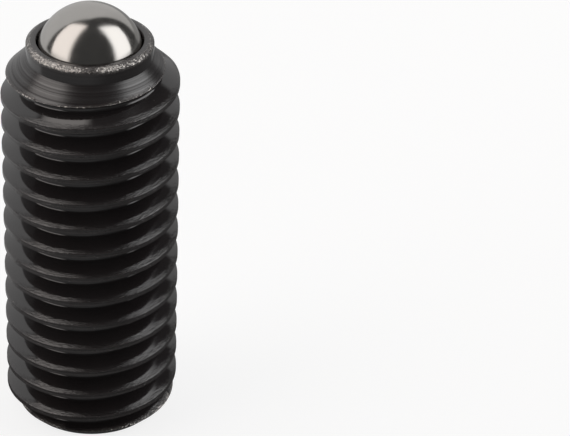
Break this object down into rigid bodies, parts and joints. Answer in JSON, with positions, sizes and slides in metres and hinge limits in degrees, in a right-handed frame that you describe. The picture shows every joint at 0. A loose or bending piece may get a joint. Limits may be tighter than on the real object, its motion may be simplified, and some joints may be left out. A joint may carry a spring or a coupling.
{
  "type": "spring plunger",
  "caption": "Threaded ball spring plunger: a slim sleeve with a hex socket, and a captive sprung ball that presses in at the other end.",
  "frame": {"origin": "centre of the flat socket-end face, which the part stands on", "axes": "+Z along the thread's axis, from the hex socket to the ball; +X and +Y square to it, with two of the hexagon's corners on the X axis"},
  "size_m": [0.005, 0.005, 0.013],
  "materials": {
    "blackened_steel": "satin",
    "ball_steel": "polished",
    "spring_wire": "satin"
  },
  "bodies": {
    "sleeve": {"sleeve": "blackened_steel", "spring": "spring_wire"},
    "ball": {"ball": "ball_steel"}
  },
  "joints": [
    {"name": "ball_press", "type": "slide", "parent": "sleeve", "child": "ball", "axis": [0, 0, 1], "range_m": [-0.001, 0], "stiffness_N_per_m": 5080, "springref_m": 0.00118, "deforming": ["spring"]}
  ]
}
